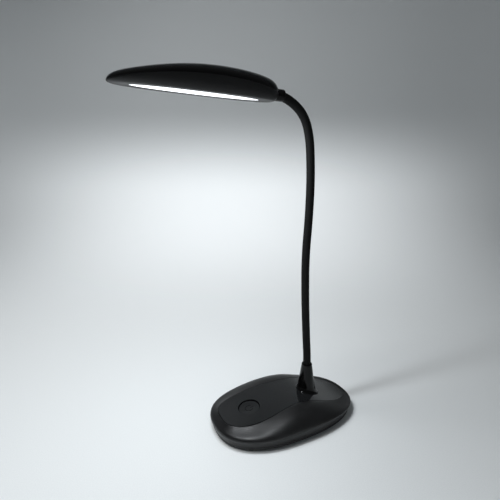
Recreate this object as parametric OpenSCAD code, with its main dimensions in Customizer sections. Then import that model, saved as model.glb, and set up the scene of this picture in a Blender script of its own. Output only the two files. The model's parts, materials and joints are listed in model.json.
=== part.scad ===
// Gooseneck desk lamp: a heavy oval base with an inlaid top panel and a push button, a flared stem,
// a flexible neck in a soft sleeve, and a slim head with a lit strip on its underside.
// X runs sideways, the head reaches towards -Y and Z points up. The origin is on the desk,
// under the middle of the base.

/* [Base outline] */
// Length of the base, front to back
base_l = 165; // [158:1:175]
// Width of the base
base_w = 101; // [96:1:108]
// How far the widest place lies in front of the middle
base_lead = 10; // [6:1:14]
// Squareness of the outline, where 2 is an ellipse
base_square = 2.4; // [2.3:0.1:2.6]

/* [Base cover] */
// Height of the rim, the widest edge of the cover
rim_z = 12.5; // [12:0.5:14]
// How much lower the rim lies at the front end
rim_fall_front = 1.5; // [0:0.5:2]
// How much lower the rim lies at the rear end
rim_fall_rear = 3; // [1:0.5:3.5]
// How far the side wall leans in from the rim to its lower edge
side_draft = 2; // [1:0.5:2.5]
// Wall thickness of the cover
cover_wall = 2.2; // [1.8:0.1:2.4]
// Height of the cover's lower edge
cover_z = 4.4; // [4.2:0.1:4.8]
// Slope of the shoulder where it meets the panel, in degrees
shoulder_slope = 12; // [8:1:16]
// How far the shoulder swells beside the stem
swell_middle = 1.5; // [0:0.5:2]
// How far the shoulder is drawn in towards the ends
swell_ends = -1.5; // [-2:0.5:0]
// How far the swelling reaches, front to back
swell_run = 28; // [20:1:36]

/* [Base panel] */
// How far the panel ends before the ends of the base
panel_in = 7; // [6.5:0.1:9.5]
// Width of the panel before its taper and waist
panel_w = 56.6; // [54:0.2:60]
// Middle of the panel, behind the middle of the base
panel_y = 1; // [0:0.5:2]
// Squareness of the panel's outline
panel_square = 3; // [2.6:0.1:3.2]
// How much narrower the panel is at the rear end than at the front, in percent
panel_taper = 20; // [10:1:25]
// How far the waist beside the stem draws the panel in, in percent
panel_waist = 16; // [8:1:20]
// How far the waist reaches, front to back
waist_run = 20; // [14:1:26]
// Thickness of the panel
panel_t = 1.8; // [1.4:0.1:2]
// Gap between the panel and its recess
panel_gap = 0.3; // [0.2:0.05:0.4]
// Height of the panel at its crest
crest_z = 27; // [25:0.5:29]
// Place of the crest, behind the middle of the base
crest_y = 5; // [0:1:8]
// Height of the panel at its front end
front_z = 18.7; // [18:0.1:20]
// Height of the panel at its rear end
rear_z = 10; // [9.5:0.1:11]
// Length of the fall from the crest to the front
front_run = 70; // [64:1:76]
// Length of the fall from the crest to the rear
rear_run = 80; // [76:1:84]

/* [Plate, feet and ballast] */
// Height of the plate's underside above the desk
plate_z = 2; // [1.6:0.1:2.2]
// Thickness of the plate
plate_t = 2.2; // [2:0.1:2.2]
// Diameter of a foot
foot_d = 12; // [10:0.5:13]
// How deep a foot is let into the plate
foot_sink = 0.8; // [0.5:0.1:1]
// Front feet: distance to the side, and in from the base's front end
foot_front = [33, 28.5];
// Rear feet: distance to the side, and in from the base's rear end
foot_rear = [26, 22.5];
// Front closing screws: distance to the side, and in from the base's front end
post_front = [19, 21.5];
// Rear closing screws: distance to the side, and in from the base's rear end
post_rear = [14, 25.5];
// Length of the ballast, front to back
ballast_l = 68; // [60:1:70]
// Room between the ballast and the socket's board
ballast_side = 2; // [1:0.5:6]
// Thickness of the ballast
ballast_t = 6.5; // [5:0.5:6.5]

/* [Button] */
// Place of the button, in from the base's front end
button_in = 40.5; // [38.5:0.5:42.5]
// Diameter of the button's cap
button_d = 23; // [21:0.5:24]
// Gap round the cap
button_gap = 0.4; // [0.3:0.05:0.5]
// How far the cap lies below the panel
button_sink = 1.1; // [0.8:0.1:1.3]
// Travel of the button
button_travel = 0.8; // [0.5:0.1:0.9]

/* [Stem] */
// Place of the stem, behind the middle of the base
stem_y = 30; // [28:0.5:31]
// Height of the stem's mouth
mouth_z = 56; // [52:1:60]
// Diameter of the stem at its mouth
stem_top_d = 11.4; // [11.2:0.1:12.4]
// Diameter of the stem's foot
stem_foot_d = 30; // [27:0.5:31]
// Taper of the stem, in mm of radius for each mm of height
stem_taper = 0.14; // [0.12:0.01:0.16]
// Height over which the foot flares out
stem_flare = 5.5; // [4.5:0.5:6.5]

/* [Neck] */
// Diameter of the sleeve
neck_d = 8.5; // [8.4:0.1:8.8]
// Diameter of the wound steel core
core_d = 6.4; // [6.2:0.1:6.4]
// Bore of the core
core_bore = 3.6; // [3.4:0.1:3.8]
// Diameter of a wire
wire_d = 1.3; // [1.1:0.1:1.4]
// Distance between the two wires' centres
wire_pitch = 1.5; // [1.45:0.05:1.6]
// Half of the gap that the core leaves at a bend point
bend_gap = 1.1; // [1:0.1:1.3]

/* [Head] */
// Width of the head
head_w = 42; // [40:1:46]
// Place of its widest station, from the rear end
head_wide = 68; // [62:1:74]
// Squareness of its outline
head_square = 2.6; // [2.4:0.1:2.8]
// How far the rear end lies behind the end of the neck's last bend
head_back = 6; // [5:0.5:7]
// Height of the crown above the neck's axis
crown_z = 15.8; // [15:0.2:17]
// How much lower the crown's long arch has come at the tip
crown_fall = 17.4; // [16:0.1:18.6]
// Place of the crown's top, in front of the neck's end
crown_at = 47; // [44:1:52]
// Height of the parting edge above the neck's axis
edge_z = 5.45; // [5:0.05:6]
// How much lower the parting edge has come at the tip
edge_fall = 10.95; // [10:0.05:11.5]
// Place of the parting edge's top, in front of the neck's end
edge_at = 55.6; // [52:0.2:58]
// Depth of the underside below the neck's axis
belly_z = 7.4; // [7.2:0.1:8]
// How far the side curves in from the parting edge to the flat underside
belly_in = 5; // [4.5:0.1:5.5]
// Wall thickness of the head
head_wall = 1.8; // [1.5:0.1:1.8]
// Length of the diffuser
light_l = 120; // [112:1:130]
// Distance from the diffuser's front end to the tip of the head
light_tip = 11.3; // [10:0.1:16]
// Width of the diffuser
light_w = 20.8; // [18:0.2:21]
// Number of light chips
chip_n = 18; // [12:1:20]

/* [Hidden] */
$fn = 48;

// points round an outline, and the angle between them
round_n = 72;
head_n = 60;
// running and seating clearances
fit_gap = 0.15;
seat_gap = 0.1;
// colours
matte_black = [0.09, 0.09, 0.1];
satin_black = [0.17, 0.18, 0.19];
gloss_black = [0.04, 0.04, 0.05];
soft_black = [0.03, 0.03, 0.035];
steel = [0.62, 0.63, 0.65];
dark_steel = [0.4, 0.41, 0.43];
board_green = [0.1, 0.32, 0.2];
lit_white = [0.98, 0.98, 0.96];

/* ---- outlines and surfaces ---- */

function ease(v, e) = sign(v) * pow(abs(v), e);
function bell(v) = exp(-v * v / 2);
function mix(a, b, k) = a + (b - a) * k;

// a point on a squared oval whose front and rear halves have their own lengths
function oval(t, half_w, front, rear, lead, square) =
  [half_w * ease(sin(t), 2 / square),
   -lead + (cos(t) > 0 ? rear : front) * ease(cos(t), 2 / square)];

// the base's outline, drawn in by an inset
function rim_xy(t, inset = 0) =
  oval(t, base_w / 2 - inset, base_l / 2 - base_lead - inset,
       base_l / 2 + base_lead - inset, base_lead, base_square);

// height of the rim along the base
function rim_h(y) = let (v = y / (base_l / 2))
  rim_z - (v < 0 ? rim_fall_front : rim_fall_rear) * pow(max(0, abs(v) - 0.25) / 0.75, 2);

// height of the panel along the base
function panel_h(y) = let (v = y < crest_y ? (crest_y - y) / front_run : (y - crest_y) / rear_run)
  mix(y < crest_y ? front_z : rear_z, crest_z, (1 + cos(180 * min(1, v))) / 2);

// the panel's outline: a squared oval with a taper to the rear and a waist at the crest
panel_l = base_l - 2 * panel_in;
function crease_xy(t, inset = 0) =
  let (y = panel_y + (panel_l / 2 - inset) * ease(cos(t), 2 / panel_square),
       taper = 1 - panel_taper / 100 * (y - panel_y) / panel_l,
       waist = 1 - panel_waist / 100 * bell((y - crest_y) / waist_run))
  [(panel_w / 2 - inset) * ease(sin(t), 2 / panel_square) * taper * waist, y];

function swell(y) = mix(swell_ends, swell_middle, bell((y - 2 * crest_y) / swell_run));

// the shoulder between the panel's crease and the rim, a quarter round that starts at a slope
function shoulder(t, a, inside = 0) =
  let (from = crease_xy(t, -inside), to = rim_xy(t, inside),
       k = (sin(a) - sin(shoulder_slope)) / (1 - sin(shoulder_slope)),
       low = rim_h(rim_xy(t)[1]))
  [mix(from[0], to[0], k), mix(from[1], to[1], k),
   mix(low, panel_h(from[1]), cos(a) / cos(shoulder_slope)) + swell(to[1]) * sin(180 * k) - inside];

function ring(n) = [for (i = [0 : n - 1]) i * 360 / n];
function rim_loop(inset, z) = [for (t = ring(round_n)) concat(rim_xy(t, inset), z)];
function rim_loop_below(inset, drop) =
  [for (t = ring(round_n)) concat(rim_xy(t, inset), rim_h(rim_xy(t)[1]) - drop)];

// a skin over a list of loops: a tube that closes on itself, or a body closed by two end points
module skin(loops, ends = []) {
  n = len(loops[0]);
  m = len(loops);
  closed = len(ends) == 0;
  sides = [for (k = [0 : m - (closed ? 1 : 2)], i = [0 : n - 1])
    let (j = (i + 1) % n, a = k * n, b = ((k + 1) % m) * n)
    each [[a + i, b + j, a + j], [a + i, b + i, b + j]]];
  caps = closed ? [] : [for (i = [0 : n - 1]) let (j = (i + 1) % n)
    each [[m * n, i, j], [m * n + 1, (m - 1) * n + j, (m - 1) * n + i]]];
  polyhedron(concat([for (l = loops) each l], ends), concat(sides, caps));
}

// a slice through the whole base that follows the panel, between two depths below its surface
module follow_panel(top, bottom) {
  ys = [for (y = [-base_l / 2 - 4 : 4 : base_l / 2 + 4]) y];
  n = len(ys);
  rotate([90, 0, 90])
    linear_extrude(base_w * 1.2, center = true)
      polygon(concat([for (y = ys) [y, panel_h(y) - top]],
                     [for (i = [n - 1 : -1 : 0]) [ys[i], panel_h(ys[i]) - bottom]]));
}

module crease_prism(inset) {
  linear_extrude(crest_z * 2) polygon([for (t = ring(round_n)) crease_xy(t, inset)]);
}

// a flat bar with round ends
module slot_2d(l, w) {
  square([l - w, w], center = true);
  for (s = [-1, 1]) translate([s * (l - w) / 2, 0]) circle(d = w);
}

// the same place on both sides
module both_sides() {
  children();
  mirror([1, 0, 0]) children();
}

module screw(head_d, head_t, shank_d, shank_l) {
  translate([0, 0, -head_t]) cylinder(d = head_d, h = head_t);
  cylinder(d = shank_d, h = shank_l);
}

// a wire through a list of points, in one smooth curve that never runs along the vector "aside"
function heading(p, i) = let (v = p[min(len(p) - 1, i + 1)] - p[max(0, i - 1)]) v / norm(v);
function curve(p, i, u) = let (l = norm(p[i + 1] - p[i]))
  mix(p[i], p[i + 1], u * u * (3 - 2 * u))
  + l * u * (1 - u) * ((1 - u) * heading(p, i) - u * heading(p, i + 1));
module wire(points, aside) {
  path = concat([for (i = [0 : len(points) - 2], u = [0 : 1 / 3 : 0.9]) curve(points, i, u)],
                [points[len(points) - 1]]);
  skin([for (i = [0 : len(path) - 1])
    let (ahead = heading(path, i), a = cross(ahead, aside), side = a / norm(a), up = cross(ahead, side))
    [for (t = ring(7)) path[i] + wire_d / 2 * (cos(t) * side + sin(t) * up)]],
    [path[0], path[len(path) - 1]]);
}

/* ---- the neck's centreline ---- */

// each bend of the centreline: its length, how far it turns forwards in degrees,
// and whether the neck can bend further after it, in a fore-and-aft or a sideways hinge
core_start = 22;
neck_bends = [
  [core_start, 0, 0], [16, 5, 1], [44, -1.2, 1], [44, -2, 1], [44, -5.4, 1], [44, 3.2, 1],
  [44, 6, 1], [20, 12.4, 0], [20, 31.5, 1], [32, 37.2, 0], [8, 0, 0]];
hinge_after = [for (i = [0 : len(neck_bends) - 1]) if (neck_bends[i][2] > 0) i];
sleeve_in = 12;
head_bend = len(neck_bends) - 2;
collar_ahead = 12;
collar_grip = 8;

// a place on the centreline: [y, z, heading forwards from straight up]
function onward(p, l, turn) = abs(turn) < 0.01
  ? [p[0] - l * sin(p[2]), p[1] + l * cos(p[2]), p[2] + turn]
  : let (r = l / (turn * PI / 180))
    [p[0] + r * (cos(p[2] + turn) - cos(p[2])), p[1] + r * (sin(p[2] + turn) - sin(p[2])), p[2] + turn];
function bend_start(i) = i == 0
  ? [stem_y, mouth_z - core_start, 0]
  : onward(bend_start(i - 1), neck_bends[i - 1][0], neck_bends[i - 1][1]);
function way_to(i) = i == 0 ? 0 : way_to(i - 1) + neck_bends[i - 1][0];
function hinge_way(k) = way_to(hinge_after[k] + 1);
neck_way = way_to(len(neck_bends));
mouth_way = core_start;
collar_way = way_to(head_bend + 1) - collar_ahead;
head_pose = bend_start(head_bend + 1);

// sweeps a section along the centreline from one distance to another
module along_neck(from, to) {
  for (i = [0 : len(neck_bends) - 1]) {
    l = neck_bends[i][0];
    turn = neck_bends[i][1];
    low = max(from, way_to(i));
    high = min(to, way_to(i) + l);
    if (high > low + 0.001) {
      p = onward(bend_start(i), low - way_to(i), turn * (low - way_to(i)) / l);
      part_turn = turn * (high - low) / l;
      if (abs(turn) < 0.01)
        translate([0, p[0], p[1]]) rotate([p[2], 0, 0]) rotate([0, 0, 90])
          linear_extrude(high - low) children();
      else {
        r = l / (turn * PI / 180);
        translate([0, p[0] - r * cos(p[2]), p[1] - r * sin(p[2])]) rotate([90, 0, 90])
          rotate_extrude(angle = abs(part_turn), start = turn > 0 ? p[2] : p[2] + 180 + part_turn)
            translate([abs(r), 0]) children();
      }
    }
  }
}

// the stretch of the neck between two hinges, shortened at each hinge by a gap
function link_from(k, gap) = k == 0 ? 0 : hinge_way(k - 1) + gap;
function link_to(k, end, gap) = k == len(hinge_after) ? end : hinge_way(k) - gap;

/* ---- local places ---- */

// the button, its switch and its board lie square to the panel
button_y = base_l / 2 - button_in;
button_slope = atan((panel_h(0.5 - button_y) - panel_h(-0.5 - button_y)) / 1);
module at_button() {
  translate([0, -button_y, panel_h(-button_y)]) rotate([button_slope, 0, 0]) children();
}
function from_button(p) =
  [p[0], -button_y + p[1] * cos(button_slope) - p[2] * sin(button_slope),
   panel_h(-button_y) + p[1] * sin(button_slope) + p[2] * cos(button_slope)];

// the head continues the neck's last bend: its length runs along -Y here
module at_head() {
  translate([0, head_pose[0], head_pose[1]]) rotate([head_pose[2] - 90, 0, 0]) children();
}

/* ---- base ---- */

floor_depth = panel_t + cover_wall;
plate_top = plate_z + plate_t;
post_d = 7;
post_bore = 2.6;
closing_places = [[post_front[0], post_front[1] - base_l / 2], [post_rear[0], base_l / 2 - post_rear[1]]];
foot_places = [[foot_front[0], foot_front[1] - base_l / 2], [foot_rear[0], base_l / 2 - foot_rear[1]]];

fitting_d = 9.5;
fitting_top = mouth_z - 10;
fitting_bottom = 8;
boss_d = 22;
boss_z = 14.5;
washer_t = 1.2;
nut_t = 4;

cap_t = 2.6;
flange_t = 0.95;
flange_d = button_d + 2.8;
flange_top = -floor_depth - fit_gap;
plunger_top = -8;
switch_top = -9;
switch_t = 2.6;
board_top = switch_top - switch_t;
board_t = 1.6;
board_size = [50, 25];
board_post_x = 20;
board_post_d = 6;

socket_y = 20;
socket_w = 8.94;
socket_h = 3.2;
socket_l = 7.3;
socket_z = 8;
socket_x = -base_w / 2 + side_draft;
// the socket's board lies clear of the curved side wall
socket_board_in = 4.5;
socket_board_l = 9;
socket_board_w = 11;
socket_board_t = 1;
ballast_w = -2 * (socket_x + socket_board_in + socket_board_l + ballast_side);

module cover_shell() {
  skin(concat(
    [for (a = [shoulder_slope, 20, 30, 42, 54, 66, 78, 90]) [for (t = ring(round_n)) shoulder(t, a)]],
    [rim_loop_below(0.2, 2),
     rim_loop(side_draft, cover_z + 0.8),
     rim_loop(side_draft + 0.5, cover_z),
     rim_loop(side_draft + cover_wall, cover_z),
     rim_loop_below(cover_wall, 2.4)],
    [for (a = [70, 48, 28, shoulder_slope]) [for (t = ring(round_n)) shoulder(t, a, cover_wall)]],
    [[for (t = ring(round_n)) let (p = crease_xy(t)) concat(p, panel_h(p[1]) - floor_depth)]]));
}

module base_cover() {
  color(matte_black) difference() {
    union() {
      cover_shell();
      intersection() {
        crease_prism(-0.8);
        follow_panel(panel_t, floor_depth);
      }
      // posts for the closing screws and the boss that the stem's nut pulls against
      intersection() {
        union() {
          both_sides() for (p = closing_places)
            translate([p[0], p[1], cover_z]) cylinder(d = post_d, h = crest_z);
          translate([0, stem_y, boss_z]) cylinder(d = boss_d, h = crest_z);
        }
        follow_panel(panel_t + cover_wall / 2, crest_z);
      }
      at_button() both_sides() translate([board_post_x, 0, board_top])
        cylinder(d = board_post_d, h = -board_top - panel_t - cover_wall / 2);
    }
    at_button() {
      translate([0, 0, -floor_depth - 1])
        cylinder(d = button_d + 2 * button_gap + 0.4, h = floor_depth + 2);
      both_sides() translate([board_post_x, 0, board_top - 1]) cylinder(d = 2, h = 6);
    }
    both_sides() for (p = closing_places)
      translate([p[0], p[1], cover_z - 1]) cylinder(d = post_bore, h = 6);
    translate([0, stem_y, boss_z - 1]) cylinder(d = fitting_d + 2 * fit_gap, h = crest_z);
    translate([-base_w / 2 - 2, socket_y, socket_z]) rotate([90, 0, 90])
      linear_extrude(cover_wall + side_draft + 4) slot_2d(socket_w + 1, socket_h + 1);
  }
}

module base_panel() {
  color(satin_black) difference() {
    intersection() {
      crease_prism(panel_gap);
      follow_panel(0, panel_t - seat_gap);
    }
    at_button() translate([0, 0, -panel_t - 1]) cylinder(d = button_d + 2 * button_gap, h = panel_t + 2);
    translate([0, stem_y, boss_z]) cylinder(d = fitting_d + 2 * fit_gap, h = crest_z);
  }
}

ballast_y = 12;
stub_places = [[-10, -14], [22, 26], [-22, 26]];
stub_d = 8;
stub_h = ballast_t - 1;

module plate_outline(inset) {
  polygon([for (t = ring(round_n)) rim_xy(t, inset)]);
}

module base_plate() {
  tongue_in = side_draft + cover_wall + 0.25;
  color(matte_black) difference() {
    union() {
      translate([0, 0, plate_z]) linear_extrude(plate_t) plate_outline(side_draft + 0.4);
      difference() {
        translate([0, 0, plate_top - 0.2]) linear_extrude(2.2) difference() {
          plate_outline(tongue_in);
          plate_outline(tongue_in + 1.6);
        }
        translate([socket_x - 4, socket_y - socket_board_w, plate_top])
          cube([20, 2 * socket_board_w, 10]);
      }
      for (p = stub_places) translate([p[0], p[1], plate_top - 0.2]) cylinder(d = stub_d, h = stub_h + 0.2);
      // pads under the socket's board
      for (s = [-1, 1])
        translate([socket_x + socket_board_in + 0.5, socket_y + s * 4.5 - 1.5, plate_top - 0.2])
          cube([socket_board_l - 1, 3, socket_z - socket_h / 2 - socket_board_t - plate_top + 0.2]);
    }
    both_sides() for (p = closing_places) translate([p[0], p[1], 0]) {
      cylinder(d = 3.2, h = 10);
      cylinder(d = 6, h = plate_z + 1.2);
    }
    both_sides() for (p = foot_places)
      translate([p[0], p[1], 0]) cylinder(d = foot_d + 2 * fit_gap, h = plate_z + foot_sink);
    for (p = stub_places) translate([p[0], p[1], plate_z + 0.8]) cylinder(d = 2.5, h = 20);
  }
}

module rubber_feet() {
  top = plate_z + foot_sink - seat_gap / 2;
  r = foot_d / 2;
  color(soft_black) both_sides() for (p = foot_places) translate([p[0], p[1], 0])
    rotate_extrude() polygon([[0, 0], [r - 0.9, 0], [r - 0.25, 0.3], [r, 0.9], [r, top], [0, top]]);
}

module plate_screws() {
  color(dark_steel) both_sides() for (p = closing_places)
    translate([p[0], p[1], plate_z + 1.2]) difference() {
      screw(5.4, 1, post_bore - 0.1, 5.5);
      translate([0, 0, -1.1]) cylinder(d = 2.2, h = 0.7, $fn = 6);
    }
}

module ballast_plate() {
  color(steel) difference() {
    translate([0, ballast_y, plate_top]) linear_extrude(ballast_t)
      polygon([for (t = ring(round_n)) oval(t, ballast_w / 2, ballast_l / 2, ballast_l / 2, 0, 2.6)]);
    translate([0, stem_y, 0]) cylinder(d = boss_d + 5, h = crest_z);
    for (p = stub_places) translate([p[0], p[1], 0]) cylinder(d = stub_d + 2 * fit_gap, h = crest_z);
  }
}

module ballast_screws() {
  color(dark_steel) for (p = stub_places)
    translate([p[0], p[1], plate_top + ballast_t]) rotate([180, 0, 0]) screw(stub_d + 3, 1.6, 2.4, ballast_t);
}

/* ---- button and electronics ---- */

module power_button() {
  r = button_d / 2;
  top = -button_sink;
  edge = 0.5;
  color(satin_black) at_button() rotate_extrude()
    polygon([[0, top - 0.15], [r * 0.6, top - 0.1],
             [r - edge, top], [r - edge / 3, top - edge / 3], [r, top - edge],
             [r, flange_top], [flange_d / 2, flange_top], [flange_d / 2, flange_top - flange_t],
             [2, flange_top - flange_t], [2, plunger_top], [0, plunger_top]]);
}

module switch_plunger() {
  color(soft_black) at_button() translate([0, 0, switch_top - 0.9])
    cylinder(d = 3.2, h = plunger_top - switch_top + 0.9);
}

module tact_switch() {
  color(dark_steel) at_button() difference() {
    translate([-3, -3, board_top]) cube([6, 6, switch_t]);
    translate([0, 0, switch_top - 0.9 - button_travel - 0.2]) cylinder(d = 3.5, h = 5);
  }
}

module control_board() {
  color(board_green) at_button() difference() {
    translate([-board_size[0] / 2, -board_size[1] / 2, board_top - board_t])
      cube([board_size[0], board_size[1], board_t]);
    both_sides() translate([board_post_x, 0, board_top - board_t - 1]) cylinder(d = 2.6, h = 5);
  }
}

module board_screws() {
  color(dark_steel) at_button() both_sides()
    translate([board_post_x, 0, board_top - board_t]) screw(4.6, 1.3, 1.9, 6);
}

plug_size = [7, 5, 4];
lamp_plug = [0, 9.5];
power_plug = [-12, 9.5];

module board_parts() {
  color(soft_black) at_button() translate([0, 0, board_top]) {
    for (p = [lamp_plug, power_plug])
      translate([p[0] - plug_size[0] / 2, p[1] - plug_size[1] / 2, 0]) cube(plug_size);
    translate([13, 3, 0]) cylinder(d = 7, h = 3.5);
    translate([-15, -6, 0]) cube([6, 5, 1.5]);
    translate([8, -8, 0]) cube([4, 3, 1.2]);
    translate([13.5, -8, 0]) cube([2, 3, 1]);
  }
}

module power_socket() {
  wall = 0.35;
  color(steel) translate([socket_x + 0.6, socket_y, socket_z]) rotate([90, 0, 90]) {
    linear_extrude(socket_l) difference() {
      slot_2d(socket_w, socket_h);
      slot_2d(socket_w - 2 * wall, socket_h - 2 * wall);
    }
    translate([0, 0, socket_l - 1]) linear_extrude(1) slot_2d(socket_w - wall, socket_h - wall);
    translate([0, 0, 1]) linear_extrude(socket_l - 1.5) square([6.4, 0.7], center = true);
  }
}

module socket_board() {
  low = socket_z - socket_h / 2 - socket_board_t;
  color(board_green) translate([socket_x + socket_board_in, socket_y - socket_board_w / 2, low])
    cube([socket_board_l, socket_board_w, socket_board_t]);
}

module power_wires() {
  start = [socket_x + socket_board_in + socket_board_l - 1.5, socket_y, socket_z - socket_h / 2 + wire_d / 2];
  finish = from_button([power_plug[0], power_plug[1] + plug_size[1] / 2, board_top + 2]);
  color("firebrick") for (s = [-1, 1])
    wire([start + [0, s * wire_pitch / 2, 0],
          start + [1.5 + s * wire_pitch / 2, s * wire_pitch / 2, 0],
          start + [2 + s * wire_pitch / 2, -7, 5.2],
          [-29 + s, 2, plate_top + ballast_t + 1.6],
          [-20 + s, -15, plate_top + ballast_t + 1.9],
          finish + [s, 4, 0],
          finish + [s * wire_pitch / 2, 0, 0]], [0, 0, 1]);
}

module lamp_wires() {
  start = from_button([lamp_plug[0], lamp_plug[1] + plug_size[1] / 2, board_top + 2]);
  over = plate_top + ballast_t + 1.3;
  color("firebrick") for (s = [-1, 1]) translate([s * wire_pitch / 2, 0, 0])
    wire([start, [0, start[1] + 5, start[2]], [0, stem_y - 28, over], [0, stem_y - 14.2, over],
          [0, stem_y - 11.4, fitting_bottom], [0, stem_y - 8, fitting_bottom - 1.8],
          [0, stem_y - 2, fitting_bottom - 2], [0, stem_y, fitting_bottom],
          [0, stem_y, mouth_z - core_start]], [1, 0, 0]);
}

/* ---- stem ---- */

stem_h = mouth_z - panel_h(stem_y);
stem_heights = [1, 0.86, 0.7, 0.53, 0.38, 0.27, 0.18, 0.115, 0.065, 0.03, 0.012];
stem_n = 40;

// radius of the stem at a height above the panel: a slow taper and a quick flare at the foot
function stem_r(h) = let (straight = stem_top_d / 2 + stem_taper * stem_h)
  straight - stem_taper * h + (stem_foot_d / 2 - straight) * exp(-h / stem_flare);
// the foot follows the panel's fall, and the mouth is level
function stem_loop(h) = let (r = stem_r(h), level = min(1, h / (stem_h * 0.5)))
  [for (t = ring(stem_n)) let (y = stem_y + r * cos(t))
    [r * sin(t), y, mix(panel_h(y), panel_h(stem_y), level * (2 - level)) + h]];

module stem() {
  color(gloss_black) difference() {
    skin(concat([for (k = stem_heights) stem_loop(k * stem_h)],
                [[for (t = ring(stem_n))
                  [stem_foot_d / 2 * sin(t), stem_y + stem_foot_d / 2 * cos(t), boss_z]]]),
         [[0, stem_y, mouth_z], [0, stem_y, boss_z]]);
    follow_panel(-seat_gap, crest_z);
    translate([0, stem_y, 0]) cylinder(d = fitting_d + 2 * fit_gap, h = fitting_top + seat_gap);
    translate([0, stem_y, 0]) cylinder(d = neck_d + 2 * fit_gap, h = mouth_z + 1);
  }
}

module neck_fitting() {
  color(steel) translate([0, stem_y, 0]) difference() {
    translate([0, 0, fitting_bottom]) cylinder(d = fitting_d, h = fitting_top - fitting_bottom);
    translate([0, 0, mouth_z - core_start]) cylinder(d = core_d + 0.1, h = mouth_z);
    cylinder(d = 5, h = mouth_z);
  }
}

module stem_washer() {
  color(steel) translate([0, stem_y, boss_z - washer_t - seat_gap]) difference() {
    cylinder(d = boss_d - 2, h = washer_t);
    translate([0, 0, -1]) cylinder(d = fitting_d + 0.3, h = 5);
  }
}

module stem_nut() {
  color(steel) translate([0, stem_y, boss_z - washer_t - nut_t - 2 * seat_gap]) difference() {
    cylinder(d = 16.2, h = nut_t, $fn = 6);
    translate([0, 0, -1]) cylinder(d = fitting_d + 0.1, h = 8);
  }
}

/* ---- neck ---- */

core_end = neck_way - 0.5;
sleeve_end = collar_way + collar_grip;

module neck_core(k) {
  color(steel) along_neck(link_from(k, bend_gap), link_to(k, core_end, bend_gap)) difference() {
    circle(d = core_d);
    circle(d = core_bore, $fn = 32);
  }
}

module neck_sleeve(k) {
  color(soft_black) along_neck(k == 0 ? sleeve_in : link_from(k, 0), link_to(k, sleeve_end, 0)) difference() {
    circle(d = neck_d);
    circle(d = core_d + 0.1);
  }
}

module neck_wires(k) {
  color("firebrick") along_neck(link_from(k, 0), link_to(k, neck_way, 0))
    for (s = [-1, 1]) translate([0, s * wire_pitch / 2]) circle(d = wire_d, $fn = 20);
}

/* ---- head ---- */

collar_d = 10.9;
collar_drop = 0.8;
collar_l = 10.2;
collar_rear = 13;
ferrule_d = 8.4;
ferrule_from = -2;
ferrule_l = 10;
flange_at = 5;
ferrule_flange_d = 11.2;
ferrule_flange_t = 1.5;
clamp_from = 3;
clamp_l = 5.5;
clamp_w = 19;
ear_t = 3;
hump_d = 13.2;
clamp_screw_x = clamp_w / 2 - 2.2;
clamp_screw_d = 3.6;
// the diffuser's lip starts where the clamp ends, and the head reaches past its front end
light_lip = 1;
light_at = clamp_from + clamp_l + 2 * seat_gap + light_lip + light_l / 2;
head_l = head_back + light_at + light_l / 2 + light_tip;
chip_in = 8;
chip_l = light_l - 2 * chip_in;

function head_xy(t, inset = 0) =
  oval(t, head_w / 2 - inset, head_l - head_wide - inset, head_wide - inset,
       head_wide - head_back, head_square);
function light_xy(t, inset = 0) =
  oval(t, light_w / 2 - inset, light_l / 2 - inset, light_l / 2 - inset, light_at, 3.2);
// the long arches of the crown and the parting edge
crown_r = pow(head_l - head_back - crown_at, 2) / (2 * crown_fall);
edge_r = pow(head_l - head_back - edge_at, 2) / (2 * edge_fall);
function crown_h(y) = crown_z - pow(y + crown_at, 2) / (2 * crown_r);
function edge_h(y) = edge_z - pow(y + edge_at, 2) / (2 * edge_r);

// height of the dome over a place inside the head's outline, drawn in by an inset
function dome_h(x, y, inset) =
  let (ahead = y + head_wide - head_back,
       v = ahead / (ahead > 0 ? head_wide - inset : head_l - head_wide - inset),
       half = (head_w / 2 - inset) * pow(max(0, 1 - pow(abs(v), head_square)), 1 / head_square),
       side = half < 0.001 ? 1 : min(1, abs(x) / half),
       round_off = pow(max(0, 1 - pow(abs(v), 10)), 0.5))
  edge_h(y) + (crown_h(y) - edge_h(y)) * pow(1 - pow(side, 2.2), 0.55) * round_off;

function dome_loop(q, inset, drop) = [for (t = ring(head_n))
  let (o = head_xy(t, inset), x = o[0] * q, y = mix(-(head_wide - head_back), o[1], q))
  [x, y, dome_h(x, y, inset) - drop]];
dome_steps = [0.2, 0.4, 0.58, 0.72, 0.83, 0.91, 0.965, 1];

// a loop on the belly's side: 0 at the parting edge, 90 where it meets the flat underside
function belly_loop(a, inside) = [for (t = ring(head_n))
  let (p = head_xy(t, inside * (a < 80 ? 1 : 0.6) + belly_in * (1 - cos(a))), e = edge_h(head_xy(t)[1]))
  concat(p, mix(e, inside - belly_z, sin(a)))];

// the hole for the collar in both halves of the head
module collar_hole() {
  translate([0, collar_rear, -collar_drop]) rotate([90, 0, 0])
    cylinder(d = collar_d + 2 * fit_gap, h = collar_l + 1.8);
}

module head_cover() {
  middle = -(head_wide - head_back);
  color(gloss_black) at_head() difference() {
    skin(concat([for (q = dome_steps) dome_loop(q, 0, -seat_gap)],
                [for (i = [7, 6, 4, 2, 0])
                  dome_loop(dome_steps[i], head_wall, dome_steps[i] == 1 ? -seat_gap : head_wall)]),
         [[0, middle, crown_h(middle) + seat_gap], [0, middle, crown_h(middle) - head_wall]]);
    collar_hole();
  }
}

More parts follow.
